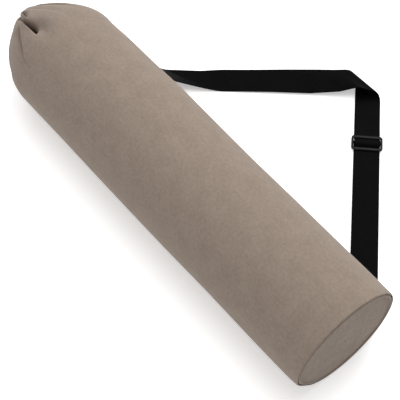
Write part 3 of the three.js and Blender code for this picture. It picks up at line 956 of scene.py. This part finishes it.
@dataclass
class StrapWay:
    """The strap's way over the ground, worked out from a few sizes and the bag's place.

    It has an upper run from its sewn end near the mouth to the corner, and a lower run back to the bag near
    its base. top_down_outer, top_down_inner and low_down are the distances over which the runs' edges come
    down from the seam. The lift tables say how high the upper run's two edges stand at shares of the way to
    the fold, as shares of the fold's height. The slider's underside lies two webbings and slider_gaps gaps
    above the ground. weave_power says how abruptly the webbing climbs over the middle bar, and weave_approach
    over what length it rises to the slider.
    """

    place: Place
    width: float = 39 * MM
    web: float = 1.4 * MM
    gap: float = 0.3 * MM
    top_end: float = 131 * MM
    low_end: float = 35 * MM
    corner_from_base: float = 315 * MM
    corner_reach: float = 360.5 * MM
    fold_radius: float = 8 * MM
    top_down_outer: float = 82 * MM
    top_down_inner: float = 137 * MM
    top_down_power: float = 1.2
    low_down: float = 62 * MM
    low_down_power: float = 1.5
    tail_from_seam: float = 50 * MM
    slider_from_corner: float = 110 * MM
    slider_thickness: float = 2.5 * MM
    slider_gaps: float = 2.4
    bar: float = 4.6 * MM
    bar_slot: float = 6.2 * MM
    weave_power: float = 1.9
    weave_approach: float = 28 * MM
    lift_place: tuple[float, ...] = (0.0, 0.15, 0.35, 0.6, 0.8, 0.92, 1.0)
    lift_outer: tuple[float, ...] = (0.0, 0.3, 0.45, 0.7, 0.85, 0.9, 1.0)
    lift_inner: tuple[float, ...] = (0.0, 0.1, 0.2, 0.2, 0.65, 1.45, 1.0)

    def __post_init__(self) -> None:
        """Works out the two runs, the fold line and the heights of the layers."""
        top_seam = self.seam_point(self.place.tip + self.top_end)
        low_seam = self.seam_point(self.place.face - self.low_end)
        self.top_seam_z = float(top_seam[2])
        self.low_seam_z = float(low_seam[2])
        self.top = top_seam[:2]
        self.low = low_seam[:2]
        corner_x = self.place.face - self.corner_from_base
        self.corner = np.array([corner_x, self.place.axis_y + self.corner_reach])
        self.upper_run = float(np.linalg.norm(self.corner - self.top))
        self.lower_run = float(np.linalg.norm(self.low - self.corner))
        self.upper_way = unit(self.corner - self.top)
        self.lower_way = unit(self.low - self.corner)
        self.upper_side = np.array([self.upper_way[1], -self.upper_way[0]])
        fold_line = unit(self.upper_way + self.lower_way)
        self.fold_out = np.array([-fold_line[1], fold_line[0]])
        self.fold_start = -math.pi * self.fold_radius / 2
        self.fold_slope = float(self.upper_way @ self.fold_out)
        self.fold_skew = float(-(self.upper_side @ self.fold_out) / self.fold_slope)
        self.upper_seam_skew = float(-self.upper_side[1] / self.upper_way[1])
        self.lower_seam_skew = float(self.lower_way[0] / self.lower_way[1])
        self.on_ground = self.web / 2
        self.on_short = self.web * 1.5 + self.gap
        self.slider_under = 2 * self.web + self.slider_gaps * self.gap
        self.over_bar = self.slider_under + self.slider_thickness + 2 * self.gap + 1.5 * self.web
        self.slider_place = self.upper_run + self.slider_from_corner

    def seam_point(self, x: float) -> np.ndarray:
        """Where the webbing meets the bag's side seam at a place along the bag."""
        reach = self.place.section(x)[2] + self.gap + self.web / 4
        return self.place.wrap(x, reach, SEAM_TURN, 0.0)

    def top_descent(self, from_seam: np.ndarray, reach: np.ndarray) -> np.ndarray:
        """Extra height of the upper run: its seam's height times the share of the way left, to a power."""
        left = np.clip(1.0 - from_seam / reach, 0.0, 1.0)
        return (self.top_seam_z - self.on_ground) * left**self.top_down_power

    def low_descent(self, from_seam: np.ndarray) -> np.ndarray:
        """The same for the lower run, whose two edges come down alike."""
        left = np.clip(1.0 - from_seam / self.low_down, 0.0, 1.0)
        return (self.low_seam_z - self.on_ground) * left**self.low_down_power

    def upper_height(self, from_seam: np.ndarray, left: np.ndarray, across: np.ndarray) -> np.ndarray:
        """Height of the upper run.

        The descent from the seam and the lift towards the fold are both worked out at the two edges and mixed
        in between.

        Args:
            from_seam: distances from the seam.
            left: distances still to go to the fold.
            across: distances from the strap's middle line, positive towards the bag's base.

        Returns:
            Heights of the middle surface.
        """
        inner = across / self.width + 0.5
        down = self.top_down_outer + (self.top_down_inner - self.top_down_outer) * inner
        way = np.clip(1.0 - left / (from_seam + left - self.top_down_inner), 0.0, 1.0)
        outer_lift = np.interp(way, self.lift_place, self.lift_outer)
        inner_lift = np.interp(way, self.lift_place, self.lift_inner)
        lift = outer_lift + (inner_lift - outer_lift) * inner
        return self.on_ground + self.top_descent(from_seam, down) + 2 * self.fold_radius * lift

    def lower_height(self, along: np.ndarray, from_seam: np.ndarray) -> np.ndarray:
        """Height of the long length on the lower run.

        It lies on the ground, goes over the slider's middle bar and then lies on the short length, which it
        follows up to the seam.

        Args:
            along: distances from the sewn end, along the strap.
            from_seam: distances from the seam.

        Returns:
            Heights of the middle surface.
        """
        before = self.slider_place - 1.5 * self.bar - self.bar_slot - along
        drop = self.low_descent(from_seam) - self.low_descent(from_seam + self.web)
        rise = (self.web + self.gap) * smooth(1.0 - before / self.weave_approach)
        rise = rise * np.hypot(1.0, drop / self.web)
        weave = np.minimum(1.0, np.abs(along - self.slider_place) / (self.bar / 2 + self.bar_slot))
        arch = (1.0 + np.cos(math.pi * weave**self.weave_power)) / 2
        over = (self.over_bar - self.on_short) * arch
        return self.on_ground + rise + over + self.low_descent(from_seam)

    def long_at(self, along: np.ndarray, across: np.ndarray) -> np.ndarray:
        """Points of the long length's middle surface.

        Before the fold they lie on the upper run. In the fold they go round half a circle whose axis lies
        along the fold line. After it they are mirrored over that line.

        Args:
            along: distances from the sewn end, along the strap.
            across: distances from its middle line.

        Returns:
            One point for each pair.
        """
        flat = self.top + along[..., None] * self.upper_way + across[..., None] * self.upper_side
        outward = (flat - self.corner) @ self.fold_out
        before = outward <= self.fold_start
        after = outward >= -self.fold_start
        left = (self.fold_start - outward) / self.fold_slope
        from_seam = (flat[..., 1] - self.top[1]) / self.upper_way[1]
        upper = self.upper_height(from_seam, np.maximum(left, 0.0), across)
        angle = np.clip((outward - self.fold_start) / self.fold_radius, 0.0, math.pi)
        bend_out = self.fold_start + self.fold_radius * np.sin(angle)
        bend = self.on_ground + self.fold_radius * (1.0 + np.cos(angle))
        shift = np.where(before, 0.0, np.where(after, -2 * outward, bend_out - outward))
        flat = flat + shift[..., None] * self.fold_out
        lower = self.lower_height(along, (self.low[1] - flat[..., 1]) / self.lower_way[1])
        height = np.where(before, upper, np.where(after, lower, bend))
        return np.concatenate([flat, height[..., None]], -1)

    def short_at(self, along: np.ndarray, across: np.ndarray, height: np.ndarray) -> np.ndarray:
        """Points of the short length's middle surface.

        Args:
            along: distances from the slider's middle towards the seam.
            across: distances from its middle line.
            height: heights before the climb to the seam.

        Returns:
            One point for each.
        """
        way = (self.slider_from_corner + along)[..., None] * self.lower_way
        side = across[..., None] * np.array([self.lower_way[1], -self.lower_way[0]])
        flat = self.corner + way + side
        from_seam = (self.low[1] - flat[..., 1]) / self.lower_way[1]
        return np.concatenate([flat, (height + self.low_descent(from_seam))[..., None]], -1)


@dataclass
class Webbing:
    """The two lengths of webbing.

    The steps are the lengths between cross-sections. loop_from and loop_to are angles in half turns round the
    slider's middle bar, and lead is how far past it the short length reaches the ground.
    """

    way: StrapWay
    across_points: int = 15
    edge_points: int = 5
    open_step: float = 3 * MM
    fold_step: float = 0.6 * MM
    weave_step: float = 0.4 * MM
    weave_margin: float = 2 * MM
    loop_from: float = -0.22
    loop_to: float = 1.42
    loop_points: int = 60
    loop_squareness: float = 0.5
    lead: float = 4 * MM
    lead_points: int = 14
    lead_haste: float = 1.15

    def section(self) -> tuple[np.ndarray, np.ndarray]:
        """The webbing's cross-section: flat above and below, with half-round edges.

        Returns:
            Distances across and heights over the middle surface, once round.
        """
        radius = self.way.web / 2
        half = self.way.width / 2 - radius
        flat = np.linspace(-half, half, self.across_points)
        bend = np.linspace(math.pi / 2, -math.pi / 2, self.edge_points + 2)[1:-1]
        out, up = radius * np.cos(bend), radius * np.sin(bend)
        level = np.full_like(flat, radius)
        across = np.concatenate([flat, half + out, flat[::-1], -half - out])
        return across, np.concatenate([level, up, -level, -up])

    def band(
        self,
        name: str,
        middle: np.ndarray,
        height: np.ndarray,
        uv: np.ndarray,
        material: bpy.types.Material,
        node: str,
    ) -> bpy.types.Object:
        """Makes one length from its middle surface.

        The normal is the cross product of the directions along and across. Each point stands off along it.

        Args:
            name: the piece's name.
            middle: points of the middle surface, one row for each cross-section, in the section's order.
            height: the section's heights.
            uv: cloth coordinates for each point.
            material: the webbing.
            node: the CAD node that the piece stands for.

        Returns:
            The new object.
        """
        along = np.gradient(middle, axis=0)
        local = np.gradient(middle[:, : self.across_points], axis=1)
        count = self.edge_points
        right = np.repeat(local[:, -1:], count, 1)
        left = np.repeat(local[:, :1], count, 1)
        across = np.concatenate([local, right, local[:, ::-1], left], 1)
        normal = unit(np.cross(across, along))
        points = middle + normal * height[None, :, None]
        rows, columns = middle.shape[:2]
        faces = grid_faces(rows, columns, close_rows=False, close_columns=True)
        caps = np.stack([np.arange(columns)[::-1], (rows - 1) * columns + np.arange(columns)])
        points, uv = points.reshape(-1, 3), uv.reshape(-1, 2)
        return make_piece(name, points, [faces, caps], material, (node,), uv)

    def build_long(self, material: bpy.types.Material) -> bpy.types.Object:
        """Makes the long length, its cross-sections slanted along the seam and along the fold.

        Args:
            material: the webbing.

        Returns:
            The new object.
        """
        way = self.way
        bend_from = way.upper_run + way.fold_start / way.fold_slope
        bend_to = way.upper_run - way.fold_start / way.fold_slope
        tail = way.upper_run + way.lower_run - way.tail_from_seam
        weave = way.bar / 2 + way.bar_slot + self.weave_margin
        weave_from, weave_to = way.slider_place - weave, way.slider_place + weave
        parts = [
            spaced(0.0, bend_from, self.open_step),
            spaced(bend_from, bend_to, self.fold_step),
            spaced(bend_to, weave_from, self.open_step),
            spaced(weave_from, weave_to, self.weave_step),
            spaced(weave_to, tail, self.open_step),
        ]
        along = np.unique(np.concatenate(parts).round(7))[:, None]
        to_fold = np.maximum(np.maximum(bend_from - along, along - bend_to), 0.0)
        skew = way.upper_seam_skew * smooth(1.0 - along / (2 * way.width))
        skew = skew + way.fold_skew * smooth(1.0 - to_fold / way.width)
        across, height = self.section()
        slanted = along + across * skew
        across = np.broadcast_to(across, slanted.shape)
        middle = way.long_at(slanted, across)
        uv = np.stack([slanted, across], -1)
        return self.band("long_webbing", middle, height, uv, material, "long_strap")

    def build_short(self, material: bpy.types.Material) -> bpy.types.Object:
        """Makes the short length: a loop round the slider's middle bar, then along the ground to the seam.

        The loop is part of a rounded box round the bar's middle. From its end the webbing eases down to the
        ground.

        Args:
            material: the webbing.

        Returns:
            The new object.
        """
        way = self.way
        half = way.bar / 2 + way.gap + way.web / 2
        rise = way.slider_thickness / 2 + way.gap + way.web / 2
        middle = way.slider_under + way.slider_thickness / 2
        angle = np.linspace(self.loop_from * math.pi, self.loop_to * math.pi, self.loop_points)
        box_along, box_up = boxed(angle, self.loop_squareness)
        loop_along, loop_height = half * box_along, middle + rise * box_up
        under = np.linspace(0.0, 1.0, self.lead_points)[1:]
        lead_along = loop_along[-1] + (self.lead - loop_along[-1]) * under
        lead_height = loop_height[-1] + (way.on_ground - loop_height[-1]) * smooth(under * self.lead_haste)
        end = way.lower_run - way.slider_from_corner
        rest = spaced(self.lead, end, self.open_step)[1:]
        along = np.concatenate([loop_along, lead_along, rest])[:, None]
        height = np.concatenate([loop_height, lead_height, np.full_like(rest, way.on_ground)])[:, None]
        skew = way.lower_seam_skew * smooth(1.0 - (end - along) / (2 * way.width))
        across, offset = self.section()
        slanted = along + across * skew
        across = np.broadcast_to(across, slanted.shape)
        surface = way.short_at(slanted, across, height + 0.0 * across)
        step = np.hypot(np.diff(along[:, 0], prepend=along[0]), np.diff(height[:, 0], prepend=height[0]))
        uv = np.stack([np.cumsum(step)[:, None] + across * skew, across], -1)
        return self.band("short_webbing", surface, offset, uv, material, "short_strap")


@dataclass
class Slider:
    """The three-bar slider: an outer ring and a middle bar.

    The ring's two ends are bars and its sides are rails. play is between the webbing's edges and the rails.
    """

    way: StrapWay
    rail: float = 3.3 * MM
    play: float = 0.6 * MM
    outer_corner: float = 4.5 * MM
    squareness: float = 0.55
    round_points: int = 24
    corner_points: int = 9
    bar_rows: int = 5

    def swept(
        self, path: np.ndarray, outward: np.ndarray, width: np.ndarray, closed: bool
    ) -> tuple[np.ndarray, np.ndarray]:
        """A bar with a rounded-box section carried along a flat path.

        Args:
            path: points of its middle line in the slider's plane.
            outward: the direction to its side at each point.
            width: its width at each point.
            closed: whether the path joins up.

        Returns:
            Points and faces. An open bar's ends are closed by flat caps inside the rails.
        """
        angle = np.linspace(0.0, 2 * math.pi, self.round_points, endpoint=False)
        side, up = boxed(angle, self.squareness)
        flat = path[:, None, :] + outward[:, None, :] * (width[:, None] * side / 2)[..., None]
        height = self.way.slider_thickness / 2 * up[None, :, None]
        points = np.concatenate([flat, np.broadcast_to(height, (*flat.shape[:2], 1))], -1)
        faces = grid_faces(len(path), len(angle), close_rows=closed, close_columns=True)
        return points.reshape(-1, 3), faces

    def rounded_path(self, half_x: float, half_y: float, radius: float) -> tuple[np.ndarray, np.ndarray]:
        """A rounded rectangle: an arc at each corner, joined by straight sides.

        Args:
            half_x: half its length.
            half_y: half its width.
            radius: its corners' radius.

        Returns:
            Its points and the outward directions there.
        """
        points = []
        outward = []
        for quarter, (sign_x, sign_y) in enumerate([(1, 1), (-1, 1), (-1, -1), (1, -1)]):
            angle = np.radians(np.linspace(90 * quarter, 90 * (quarter + 1), self.corner_points))
            direction = np.stack([np.cos(angle), np.sin(angle)], -1)
            centre = np.array([sign_x * (half_x - radius), sign_y * (half_y - radius)])
            points.append(centre + radius * direction)
            outward.append(direction)
        return np.concatenate(points), np.concatenate(outward)

    def build(self, material: bpy.types.Material) -> bpy.types.Object:
        """Makes the slider: its outer ring, whose width goes over from bars to rails, then its middle bar.

        Args:
            material: the plastic.

        Returns:
            The new object.
        """
        way = self.way
        half_y = way.width / 2 + self.play + self.rail / 2
        half_x = way.bar + way.bar_slot
        path, outward = self.rounded_path(half_x, half_y, self.outer_corner - self.rail / 2)
        width = self.rail + (way.bar - self.rail) * outward[:, 0] ** 2
        ring, ring_faces = self.swept(path, outward, width, closed=True)
        rows = self.bar_rows
        line = np.stack([np.zeros(rows), np.linspace(-half_y, half_y, rows)], -1)
        outward = np.tile([1.0, 0.0], (rows, 1))
        bar, bar_faces = self.swept(line, outward, np.full(rows, way.bar), closed=False)
        cap = np.arange(self.round_points)
        caps = np.stack([cap[::-1], len(bar) - self.round_points + cap]) + len(ring)
        points = np.concatenate([ring, bar])
        centre = way.corner + way.slider_from_corner * way.lower_way
        side = np.array([-way.lower_way[1], way.lower_way[0]])
        flat = centre + points[:, :1] * way.lower_way + points[:, 1:2] * side
        height = way.slider_under + way.slider_thickness / 2 + points[:, 2:]
        points = np.concatenate([flat, height], -1)
        faces = [np.concatenate([ring_faces, bar_faces + len(ring)])[:, ::-1], caps]
        return make_piece("slider_bars", points, faces, material, ("strap_slider",))


# The studio


@dataclass(frozen=True)
class Lamp:
    """A square soft light over the ground, aimed at the middle of the footprint."""

    name: str
    place: tuple[float, float, float]
    size: float
    power: float

    def build(self) -> None:
        """Puts it into the scene."""
        data = bpy.data.lights.new(self.name, "AREA")
        data.size = self.size
        data.energy = self.power
        lamp = put(self.name, data)
        lamp.location = self.place
        lamp.rotation_euler = (-Vector(self.place)).to_track_quat("-Z", "Y").to_euler()


LAMPS = (
    Lamp("key", (-0.5, 1.9, 2.2), size=1.6, power=36.0),
    Lamp("top", (-0.35, 0.25, 2.55), size=2.2, power=42.0),
)


@dataclass(frozen=True)
class Studio:
    """A plain pale floor, soft light and the camera.

    The camera's place is given from the bag's axis at its base, on the ground. lens and sensor are in
    millimetres. sight is how far it sees.
    """

    place: Place
    camera_from_base: tuple[float, float, float] = (0.3467, -0.5256, 1.3919)
    camera_look: tuple[float, float, float] = (-0.4076, 0.3376, -0.8485)
    lens: float = 101.5
    floor_size: float = 14.0
    floor_colour: tuple[float, float, float] = (0.93, 0.93, 0.93)
    floor_roughness: float = 0.9
    floor_gloss: float = 0.1
    floor_glow: float = 0.39
    world_strength: float = 0.5
    white: tuple[float, float, float, float] = (1.0, 1.0, 1.0, 1.0)
    sensor: float = 36.0
    sight: float = 50.0

    def floor(self) -> None:
        """A wide pale plane at ground height."""
        half = self.floor_size / 2
        points = np.array([(-half, -half, 0), (half, -half, 0), (half, half, 0), (-half, half, 0)], float)
        mesh = bpy.data.meshes.new("floor")
        mesh.from_pydata(points.tolist(), [], [(0, 1, 2, 3)])
        material, _, shader = start_material("floor")
        shader.inputs["Base Color"].default_value = (*self.floor_colour, 1.0)
        shader.inputs["Roughness"].default_value = self.floor_roughness
        shader.inputs["Specular IOR Level"].default_value = self.floor_gloss
        shader.inputs["Emission Color"].default_value = self.white
        shader.inputs["Emission Strength"].default_value = self.floor_glow
        mesh.materials.append(material)
        put("floor", mesh)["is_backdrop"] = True

    def camera(self) -> None:
        """The camera, at the photograph's angle."""
        data = bpy.data.cameras.new("camera")
        data.sensor_width = self.sensor
        data.lens = self.lens
        data.clip_end = self.sight
        eye = put("camera", data)
        eye.location = Vector((self.place.face, self.place.axis_y, 0.0)) + Vector(self.camera_from_base)
        eye.rotation_euler = Vector(self.camera_look).to_track_quat("-Z", "Y").to_euler()
        bpy.context.scene.camera = eye

    def build(self) -> None:
        """Sets the stage."""
        self.floor()
        self.camera()
        for lamp in LAMPS:
            lamp.build()
        scene = bpy.context.scene
        scene.view_settings.view_transform = "Standard"
        world = bpy.data.worlds.new("studio")
        world.use_nodes = True
        sky = world.node_tree.nodes["Background"]
        sky.inputs["Color"].default_value = self.white
        sky.inputs["Strength"].default_value = self.world_strength
        scene.world = world


def corners() -> list[list[float]]:
    """The shown object's box as two plain lists."""
    return [list(corner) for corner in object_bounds()]


def main() -> None:
    """Builds every piece and the stage."""
    logging.basicConfig(level=logging.INFO, format="%(name)s: %(message)s")
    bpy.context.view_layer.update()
    place = Place.from_frame()
    finishes = FinishMaker()
    canvas = finishes.cloth(CANVAS)
    webbing = finishes.cloth(WEBBING)
    MatTube(place).build(canvas)
    # The base's canvas colours carry painted shade: they are darker than the tube's canvas.
    BasePanel(place).build(finishes.cloth(SHADED_BASE_CANVAS))
    way = StrapWay(place)
    straps = Webbing(way)
    straps.build_long(webbing)
    straps.build_short(webbing)
    Slider(way).build(finishes.plastic(SLIDER_PLASTIC))
    Studio(place).build()
    bpy.context.view_layer.update()


if __name__ == "__main__":
    main()
